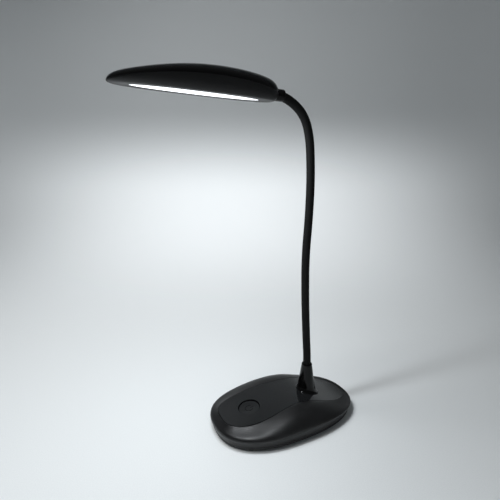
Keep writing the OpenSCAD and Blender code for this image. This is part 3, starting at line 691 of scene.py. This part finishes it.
# %% [markdown]
# ### Diffuser
# The diffuser is a frosted acrylic strip behind the opening. Its face stands 0.2 mm inside the
# underside, and its edges are slightly rounded.

# %% Diffuser
FACE = 0.2 - BELLY_Z
BACK = 2.85 - BELLY_Z
section = ((0.9, FACE), (0.45, 0.24 - BELLY_Z), (0.28, 0.4 - BELLY_Z), (0.25, 0.8 - BELLY_Z),
           (0.25, 1.85 - BELLY_Z), (-1, 1.85 - BELLY_Z), (-1, BACK))
loops = [light_loop(inset, z) for inset, z in section]
diffuser = loft("diffuser_strip", loops, start=(0, LIGHT_MID, FACE), end=(0, LIGHT_MID, BACK))
diffuser.data.transform(head_place)
smooth(diffuser, 40)
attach(diffuser, "head")
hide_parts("diffuser")
report(diffuser)

# %% [markdown]
# ### Collar
# A short glossy collar covers the sleeve's end where it enters the head. It is turned, with a rounded
# rear edge.

# %% Collar
collar_place = head_place @ Matrix.Translation((0, 0.013, -0.0008)) @ Matrix.Rotation(math.pi / 2, 4, "X")
profile = [(4.6, 0.5), (4.75, 0.12), (5.0, 0), (5.15, 0.06), (5.35, 0.35), (5.45, 0.9), (5.45, 10.2),
           (4.6, 10.2)]
head_collar = turned("head_collar_ring", profile, collar_place, ring=True)
smooth(head_collar, 40)
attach(head_collar, "head")
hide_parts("head_collar")
report(head_collar)

# %% [markdown]
# ## Materials
# Every finish is built from nodes. One helper turns a hex colour into the linear values that Blender
# works in, and one adds a node with its settings and links. Patterns read Object coordinates, so that
# a scale in millimetres is a real size. Two helpers cover most finishes of this lamp: a moulded plastic
# or rubber, and a metal. The wires and the lit strip follow with nodes of their own.

# %% Material helpers


def colour(code):
    parts = [int(code[i:i + 2], 16) / 255 for i in (1, 3, 5)]
    return [v / 12.92 if v <= 0.04045 else ((v + 0.055) / 1.055) ** 2.4 for v in parts] + [1]


def node(tree, kind, links=None, **settings):
    """Adds a node. links maps an input to (node, output), and other settings set a property or an input."""
    made = tree.nodes.new(kind)
    for key, value in settings.items():
        if hasattr(made, key):
            setattr(made, key, value)
        else:
            made.inputs[key.replace("_", " ")].default_value = value
    for key, (source, output) in (links or {}).items():
        tree.links.new(source.outputs[output], made.inputs[key])
    return made


def tinted(tree, pattern, output, dark, light, low=0.3, high=0.7):
    """A colour ramp between two hex colours, driven by a pattern."""
    ramp = node(tree, "ShaderNodeValToRGB", {"Fac": (pattern, output)})
    ends = ramp.color_ramp.elements
    ends[0].position, ends[1].position = low, high
    ends[0].color, ends[1].color = colour(dark), colour(light)
    return ramp


def moulded(name, dark, light, roughness, spread, grain_mm, depth_mm, specular=0.5):
    """Moulded plastic or rubber: a faintly cloudy colour, uneven gloss, and the tool's grain."""
    material = bpy.data.materials.new(name)
    material.use_nodes = True
    tree = material.node_tree
    shader = tree.nodes["Principled BSDF"]
    place = node(tree, "ShaderNodeTexCoord")
    clouds = node(tree, "ShaderNodeTexNoise", {"Vector": (place, "Object")}, Scale=60.0, Detail=3.0)
    tint = tinted(tree, clouds, "Fac", dark, light)
    tree.links.new(tint.outputs["Color"], shader.inputs["Base Color"])
    gloss = node(tree, "ShaderNodeMapRange", {"Value": (clouds, "Fac")}, From_Min=0.3, From_Max=0.7,
                 To_Min=roughness - spread, To_Max=roughness + spread)
    tree.links.new(gloss.outputs["Result"], shader.inputs["Roughness"])
    grain = node(tree, "ShaderNodeTexVoronoi", {"Vector": (place, "Object")}, Scale=1000 / grain_mm)
    relief = node(tree, "ShaderNodeBump", {"Height": (grain, "Distance")}, Strength=1.0,
                  Distance=depth_mm * MM)
    tree.links.new(relief.outputs["Normal"], shader.inputs["Normal"])
    shader.inputs["Specular IOR Level"].default_value = specular
    return material


def metal(name, dark, light, roughness, line_mm, depth_mm, stretch=(1, 1, 1)):
    """A metal whose lines or crystals are line_mm wide, and drawn out where stretch is below 1."""
    material = bpy.data.materials.new(name)
    material.use_nodes = True
    tree = material.node_tree
    shader = tree.nodes["Principled BSDF"]
    place = node(tree, "ShaderNodeTexCoord")
    drawn = node(tree, "ShaderNodeMapping", {"Vector": (place, "Object")}, Scale=stretch)
    lines = node(tree, "ShaderNodeTexNoise", {"Vector": (drawn, "Vector")}, Scale=1000 / line_mm, Detail=4.0)
    tint = tinted(tree, lines, "Fac", dark, light)
    tree.links.new(tint.outputs["Color"], shader.inputs["Base Color"])
    gloss = node(tree, "ShaderNodeMapRange", {"Value": (lines, "Fac")}, From_Min=0.3, From_Max=0.7,
                 To_Min=roughness - 0.08, To_Max=roughness + 0.08)
    tree.links.new(gloss.outputs["Result"], shader.inputs["Roughness"])
    relief = node(tree, "ShaderNodeBump", {"Height": (lines, "Fac")}, Strength=1.0, Distance=depth_mm * MM)
    tree.links.new(relief.outputs["Normal"], shader.inputs["Normal"])
    shader.inputs["Metallic"].default_value = 1.0
    return material


def paint(piece, material):
    piece.data.materials.clear()
    piece.data.materials.append(material)


# %% [markdown]
# ### Outer finishes
# All that shows is black, and only the surface tells the pieces apart. The base cover and the head's
# lower shell are ABS from a spark-eroded tool, whose fine grain spreads the light. The panel is ABS
# from a polished tool, a little softened, so it mirrors the stem and the wall dimly. The stem and the
# dome are high-gloss ABS. The sleeve is silicone, which drinks the light and looks almost flat.

# %% Outer finishes
# Spark-eroded black ABS: grains of about 0.5 mm, drawn at 0.9 mm so that they show, 30 micrometres deep.
grained_abs = moulded("grained_black_abs", "#0f0f10", "#161617", 0.42, 0.06, 0.9, 0.03, 0.45)
# Charcoal ABS from a polished tool: a clear but dim mirror, with a trace of orange peel.
satin_abs = moulded("satin_charcoal_abs", "#151617", "#1a1b1c", 0.1, 0.02, 1.2, 0.0006, 0.5)
# High-gloss black ABS: a sharp mirror and a deep black.
polished_abs = moulded("polished_black_abs", "#040404", "#070707", 0.09, 0.02, 1.5, 0.0006, 0.22)
# Extruded black silicone: soft, dusty and nearly without gloss.
silicone = moulded("matt_black_silicone", "#080808", "#0c0c0c", 0.72, 0.05, 0.4, 0.004, 0.25)
# Moulded rubber feet: dull, with a coarse open grain.
rubber = moulded("dull_foot_rubber", "#141414", "#1a1a1a", 0.8, 0.05, 0.6, 0.01, 0.3)

# %% [markdown]
# ### Finishes inside
# What hides in the base, the neck and the head gets its own finish too, because the lamp can be opened:
# zinc-plated steel screws, a rolled steel weight, a wound steel gooseneck, brass fittings, lacquered
# circuit boards, moulded connectors, and coloured wires.

# %% Finishes inside
# Rolled mild steel plate: long faint lines along the rolling, 0.3 mm apart.
rolled_steel = metal("rolled_mild_steel", "#7d7f82", "#9a9c9f", 0.38, 0.3, 0.002, (1, 0.08, 1))
# Zinc-plated steel: small pale crystals about 0.4 mm across.
zinc_plate = metal("zinc_plated_steel", "#a3a6aa", "#c2c5c8", 0.3, 0.4, 0.001)
# Black-passivated zinc on the screws: dark, with the plating's crystals.
dark_zinc = metal("black_zinc_screws", "#3a3b3e", "#55565a", 0.38, 0.3, 0.002)
# Drawn spring steel wire: fine lines, 0.15 mm apart.
spring_steel = metal("drawn_spring_steel", "#85878b", "#a9abaf", 0.32, 0.15, 0.002, (0.2, 1, 1))
# Turned brass: fine rings from the lathe, 0.1 mm apart.
turned_brass = metal("turned_brass", "#b58f3f", "#d8b566", 0.26, 0.1, 0.002, (1, 1, 0.3))
# Nickel-plated steel of the socket's shell: smooth and bright.
nickel = metal("nickel_plated_steel", "#b9b7b0", "#d2d0ca", 0.2, 0.5, 0.0005)
# Glass-fibre board under green lacquer: its weave shows faintly, 0.5 mm from thread to thread.
green_board = moulded("green_lacquered_board", "#0b4a26", "#14633a", 0.28, 0.04, 0.5, 0.006)
# Aluminium board under white lacquer, which sends the chips' light down.
white_board = moulded("white_lacquered_board", "#e2e3e0", "#f0f1ee", 0.35, 0.04, 0.8, 0.003)
# Moulded black epoxy and nylon of the small parts.
black_nylon = moulded("moulded_black_nylon", "#18181a", "#222224", 0.45, 0.05, 0.4, 0.006)
# White acetal and polycarbonate: milky and smooth.
white_acetal = moulded("milky_white_acetal", "#d6d6d0", "#e6e6e1", 0.32, 0.04, 1.0, 0.002)
# Phosphor under clear silicone on each light chip: a warm yellow dome with a fine dusty grain.
phosphor = moulded("yellow_phosphor", "#d9c25c", "#efdc8a", 0.35, 0.05, 0.3, 0.004)

# %% Wires
# Twin PVC wire, one red and one black, smooth and slightly greasy. The pair runs side by side across x.
pvc_pair = moulded("red_and_black_pvc", "#5f0f0c", "#7a1712", 0.35, 0.05, 0.7, 0.003)
tree = pvc_pair.node_tree
place = tree.nodes["Texture Coordinate"]
side = node(tree, "ShaderNodeSeparateXYZ", {"Vector": (place, "Object")})
is_black = node(tree, "ShaderNodeMath", {0: (side, "X")}, operation="GREATER_THAN")
is_black.inputs[1].default_value = 0.0
red_tint = tree.nodes["Color Ramp"]
pair = node(tree, "ShaderNodeMix", {"Factor": (is_black, "Value")}, data_type="RGBA")
tree.links.new(red_tint.outputs["Color"], pair.inputs["A"])
pair.inputs[7].default_value = colour("#101011")
tree.links.new(pair.outputs[2], tree.nodes["Principled BSDF"].inputs["Base Color"])

# %% Lit diffuser
# Frosted acrylic, lit from behind: a nearly even white, faintly cloudy.
frosted = bpy.data.materials.new("frosted_acrylic_lit")
frosted.use_nodes = True
tree = frosted.node_tree
shader = tree.nodes["Principled BSDF"]
place = node(tree, "ShaderNodeTexCoord")
milk = node(tree, "ShaderNodeTexNoise", {"Vector": (place, "Object")}, Scale=300.0, Detail=2.0)
glow = tinted(tree, milk, "Fac", "#eff5fb", "#fbfdff")
tree.links.new(glow.outputs["Color"], shader.inputs["Base Color"])
tree.links.new(glow.outputs["Color"], shader.inputs["Emission Color"])
shader.inputs["Roughness"].default_value = 0.4
shader.inputs["Emission Strength"].default_value = 1.6

# %% [markdown]
# ### Who wears what
# Each finish is given to the new pieces and to the CAD nodes that stay as they are.

# %% Paint
finishes = {
    grained_abs: [base_cover, head_housing, "base_plate"],
    satin_abs: [base_panel, power_button],
    polished_abs: [stem, head_cover, head_collar, sign],
    silicone: [bpy.data.objects[f"neck_sleeve_length_{k + 1}"] for k in range(7)],
    frosted: [diffuser],
    rubber: ["rubber_feet"],
    rolled_steel: ["ballast_plate"],
    zinc_plate: ["stem_washer", "stem_nut", "neck_clamp"],
    dark_zinc: ["plate_screws", "ballast_screws", "board_screws", "clamp_screws"],
    spring_steel: [f"neck_core_{k}" for k in range(8)],
    turned_brass: ["neck_fitting", "head_fitting"],
    nickel: ["power_socket"],
    green_board: ["control_board", "socket_board"],
    white_board: ["light_board", "reflector_tray"],
    black_nylon: ["board_parts", "tact_switch"],
    white_acetal: ["switch_plunger"],
    phosphor: ["light_chips"],
    pvc_pair: ["power_wires", "lamp_wires", "head_wires"] + [f"neck_wires_{k}" for k in range(8)],
}
painted = 0
for finish, wearers in finishes.items():
    for wearer in wearers:
        paint(frame["nodes"][wearer] if isinstance(wearer, str) else wearer, finish)
        painted += 1
print(len(finishes), "finishes on", painted, "pieces")

# %% [markdown]
# ## Setting
# A pale floor runs back and curves up into a far wall, as a sheet of paper does in a photo studio. The
# lamp's own strip throws a pool of light on the wall in the photograph. Here the paper shows that pool
# itself: in full to the camera, and at under half strength to what mirrors it. It gives the lamp no
# diffuse light. Far from the lamp the paper also glows faintly to the camera, so that it stays pale.

# %% Setting
# The colour the paper darkens to up the wall: a painted shade.
WALL_SHADE = "#ced2d4"
WALL_AWAY = 0.86
SWEEP_HALF_W = 9
away = Vector((-math.sin(math.radians(CAMERA_TURN)), math.cos(math.radians(CAMERA_TURN)), 0))
across = Vector((away.y, -away.x, 0))
profile = [(-7, 0), (-6.9, 0), (-0.4, 0), (0, 0), (0.3, 0), (0.5, 0.006), (0.66, 0.04), (0.78, 0.12),
           (0.84, 0.25), (WALL_AWAY, 0.45), (WALL_AWAY, 1.0), (WALL_AWAY, 2.2)]
clear_selection()
bpy.ops.mesh.primitive_grid_add(x_subdivisions=1, y_subdivisions=len(profile) - 1, size=1)
sweep = bpy.context.object
sweep.name = "studio_sweep"
for i, vertex in enumerate(sweep.data.vertices):
    forward, rise = profile[i // 2]
    vertex.co = away * forward + across * (SWEEP_HALF_W if i % 2 else -SWEEP_HALF_W) + Vector((0, 0, rise))
rounding = sweep.modifiers.new("soft", "SUBSURF")
rounding.levels = 3
rounding.render_levels = 3
bpy.ops.object.modifier_apply(modifier="soft")
smooth(sweep, 60)

paper = bpy.data.materials.new("pale_paper")
paper.use_nodes = True
tree = paper.node_tree
shader = tree.nodes["Principled BSDF"]
shader.inputs["Roughness"].default_value = 0.9
place = node(tree, "ShaderNodeTexCoord")
fibre = node(tree, "ShaderNodeTexNoise", {"Vector": (place, "Object")}, Scale=900.0, Detail=4.0)
pulp = tinted(tree, fibre, "Fac", "#d6dadc", "#dce0e1")
# The paper darkens from the floor's colour to WALL_SHADE as it rises: a painted shade on the upper wall.
axes = node(tree, "ShaderNodeSeparateXYZ", {"Vector": (place, "Object")})
shade = node(tree, "ShaderNodeMapRange", {"Value": (axes, "Z")}, interpolation_type="SMOOTHSTEP",
             From_Min=0.02, From_Max=0.5)
backed = node(tree, "ShaderNodeMix", {"Factor": (shade, "Result")}, data_type="RGBA")
tree.links.new(pulp.outputs["Color"], backed.inputs[6])
backed.inputs[7].default_value = colour(WALL_SHADE)
tree.links.new(backed.outputs[2], shader.inputs["Base Color"])

# The pool: round in plan, faded out above POOL_FULL. Rays that mirror it see MIRRORED of it.
POOL_MIDDLE = away * WALL_AWAY - across * 0.10
POOL_REACH = 0.95
POOL_FULL = 0.15
POOL_END = 0.41
POOL_GLOW = 0.65
MIRRORED = 0.45
flat = node(tree, "ShaderNodeMapping", {"Vector": (place, "Object")},
            Scale=(1 / POOL_REACH, 1 / POOL_REACH, 0),
            Location=(-POOL_MIDDLE.x / POOL_REACH, -POOL_MIDDLE.y / POOL_REACH, 0))
pool = node(tree, "ShaderNodeTexGradient", {"Vector": (flat, "Vector")}, gradient_type="SPHERICAL")
spread = node(tree, "ShaderNodeMapRange", {"Value": (pool, "Fac")}, interpolation_type="SMOOTHSTEP",
              To_Max=POOL_GLOW)
fade = node(tree, "ShaderNodeMapRange", {"Value": (axes, "Z")}, interpolation_type="SMOOTHSTEP",
            From_Min=POOL_END, From_Max=POOL_FULL)
glow = node(tree, "ShaderNodeMath", {0: (spread, "Result"), 1: (fade, "Result")}, operation="MULTIPLY")
rays = node(tree, "ShaderNodeLightPath")
seen = node(tree, "ShaderNodeMath", {0: (rays, "Is Glossy Ray"), 2: (rays, "Is Camera Ray")},
            operation="MULTIPLY_ADD")
seen.inputs[1].default_value = MIRRORED
shown = node(tree, "ShaderNodeMath", {0: (glow, "Value"), 1: (seen, "Value")}, operation="MULTIPLY")

# The faint glow far out, by distance along the floor from the lamp.
in_plan = node(tree, "ShaderNodeVectorMath", {0: (place, "Object")}, operation="MULTIPLY")
in_plan.inputs[1].default_value = (1, 1, 0)
distance = node(tree, "ShaderNodeVectorMath", {0: (in_plan, "Vector")}, operation="LENGTH")
far_glow = node(tree, "ShaderNodeMapRange", {"Value": (distance, "Value")}, interpolation_type="SMOOTHSTEP",
                From_Min=0.95, From_Max=2.0, To_Max=0.42)
total = node(tree, "ShaderNodeMath",
             {0: (far_glow, "Result"), 1: (rays, "Is Camera Ray"), 2: (shown, "Value")},
             operation="MULTIPLY_ADD")
tree.links.new(total.outputs["Value"], shader.inputs["Emission Strength"])
shader.inputs["Emission Color"].default_value = colour("#eef3f6")
paint(sweep, paper)

# %% [markdown]
# ## Light
# A lamp just under the diffuser gives the strip's light, and rides on the diffuser so that it moves with
# the head. A large soft box at the left gives diffuse light and isn't mirrored in the glossy pieces. A
# plain sky, shown brighter to the camera than it lights, does the rest.

# %% Light
SKY_LIGHT = 0.15
SKY_SHOWN = 0.55
world = bpy.data.worlds.new("studio")
bpy.context.scene.world = world
world.use_nodes = True
tree = world.node_tree
sky = tree.nodes["Background"]
sky_rays = node(tree, "ShaderNodeLightPath")
strength = node(tree, "ShaderNodeMapRange", {"Value": (sky_rays, "Is Camera Ray")}, To_Min=SKY_LIGHT,
                To_Max=SKY_SHOWN)
tree.links.new(strength.outputs["Result"], sky.inputs["Strength"])
sky.inputs["Color"].default_value = colour("#e4e9ec")


def area_lamp(name, shape, size, power, tint):
    data = bpy.data.lights.new(name, "AREA")
    data.shape = shape
    data.size, data.size_y = size
    data.energy = power
    data.color = colour(tint)[:3]
    lamp = bpy.data.objects.new(name, data)
    bpy.context.collection.objects.link(lamp)
    return lamp


strip_light = area_lamp("strip_light", "ELLIPSE", (0.019, 0.11), 0.5, "#f6fbff")
strip_light.matrix_world = head_place @ Matrix.Translation((0, LIGHT_MID * MM, (-0.3 - BELLY_Z) * MM))
strip_light.visible_camera = False
strip_light.parent = diffuser

key = area_lamp("left_softbox", "RECTANGLE", (0.45, 0.45), 6.6, "#ffffff")
key.location = (-0.1, -0.42, 0.88)
key.rotation_euler = (-key.location).to_track_quat("-Z", "Y").to_euler()
key.visible_glossy = False
bpy.context.scene.view_settings.view_transform = "Standard"
